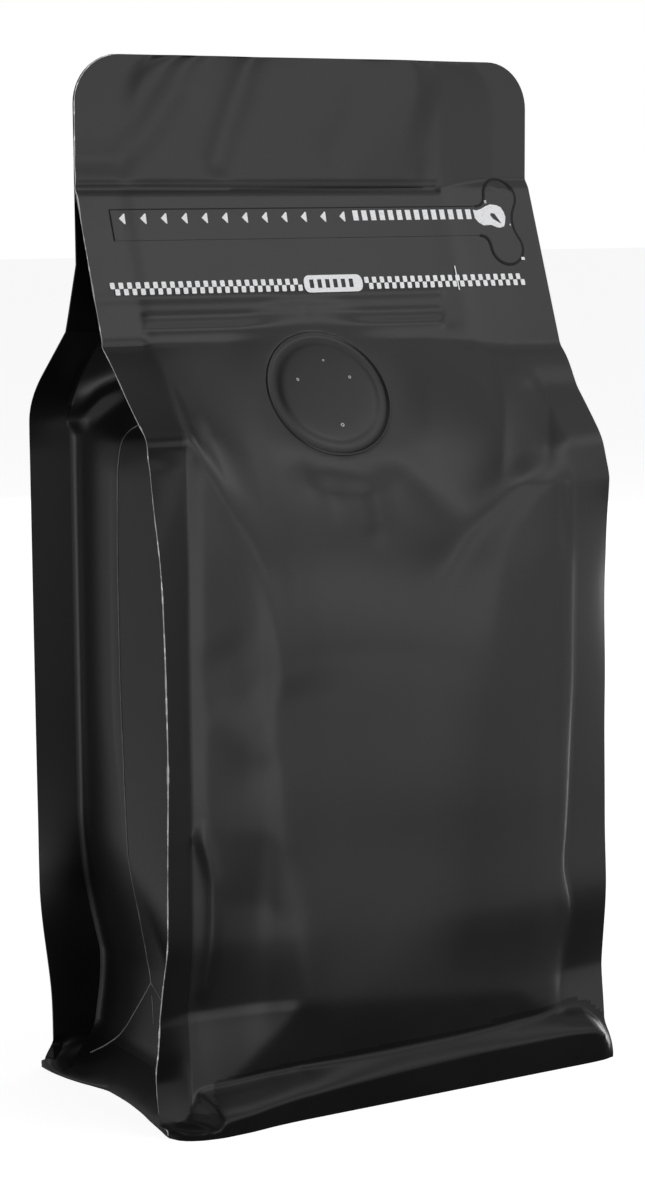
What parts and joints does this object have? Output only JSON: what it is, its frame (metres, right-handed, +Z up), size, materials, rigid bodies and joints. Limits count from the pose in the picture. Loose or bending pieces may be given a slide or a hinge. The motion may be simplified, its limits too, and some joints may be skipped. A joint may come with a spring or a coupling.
{
  "type": "coffee bag with valve",
  "caption": "Matte black flat-bottom coffee pouch, shut and full, with welded corner seals, a pull-tab tear strip and a round one-way valve.",
  "frame": {"origin": "on the floor, under the middle of the bag's width and between its front and back walls", "axes": "+Z up to the header's top edge, -Y towards the front wall with the valve and the tear strip, +X to the right as seen from the front"},
  "size_m": [0.121, 0.0715, 0.237],
  "materials": {
    "film": "matte black laminate film with a soft sheen",
    "valve_film": "matte black film stretched over the valve disc",
    "strip_film": "matte black film with white print"
  },
  "bodies": {
    "root": {"bag": "film", "valve": "valve_film", "tear_strip": "strip_film"}
  },
  "joints": []
}
